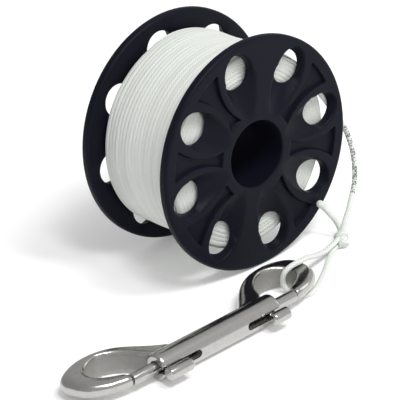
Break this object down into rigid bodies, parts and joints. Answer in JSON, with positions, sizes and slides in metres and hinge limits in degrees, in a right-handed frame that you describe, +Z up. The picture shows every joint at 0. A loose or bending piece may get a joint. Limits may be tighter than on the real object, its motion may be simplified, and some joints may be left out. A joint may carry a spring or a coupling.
{
  "type": "finger spool",
  "caption": "Finger spool of braided line: open-hubbed reel with round holes in its flanges, and a double-ended bolt snap looped to the line's free end.",
  "frame": {"origin": "on the floor, under the middle of the bounding box of the spool and the snap as they lie", "axes": "Z up; the spool's axis runs along Y and its front face looks along -Y; the snap lies along X in front of it"},
  "size_m": [0.1668, 0.0918, 0.09],
  "materials": {
    "spool_plastic": "satin blue-black moulded plastic",
    "line_fibre": "pale green braided line",
    "cast_steel": "polished cast stainless steel",
    "spring_steel": "bare spring wire"
  },
  "bodies": {
    "spool": {"front_half_spool": "spool_plastic", "rear_half_spool": "spool_plastic", "line_core": "line_fibre", "line_winding": "line_fibre", "line_lead": "line_fibre", "line_knot": "line_fibre", "line_tag": "line_fibre", "clip_loop": "line_fibre"},
    "snap": {"snap_body": "cast_steel", "left_bolt_spring": "spring_steel", "right_bolt_spring": "spring_steel"},
    "left_bolt": {"left_bolt": "cast_steel", "left_thumb_knob": "cast_steel"},
    "right_bolt": {"right_bolt": "cast_steel", "right_thumb_knob": "cast_steel"}
  },
  "joints": [
    {"name": "snap_swing", "type": "hinge", "parent": "spool", "child": "snap", "pos_m": [0.02325, -0.02396, 0.005], "axis": [0, 0, 1], "range_deg": [-20, 20]},
    {"name": "left_bolt_slide", "type": "slide", "parent": "snap", "child": "left_bolt", "axis": [1, 0, 0], "range_m": [0, 0.0113], "stiffness_N_per_m": 300, "springref_m": -0.01, "deforming": ["left_bolt_spring"]},
    {"name": "right_bolt_slide", "type": "slide", "parent": "snap", "child": "right_bolt", "axis": [-1, 0, 0], "range_m": [0, 0.0113], "stiffness_N_per_m": 300, "springref_m": -0.01, "deforming": ["right_bolt_spring"]}
  ]
}
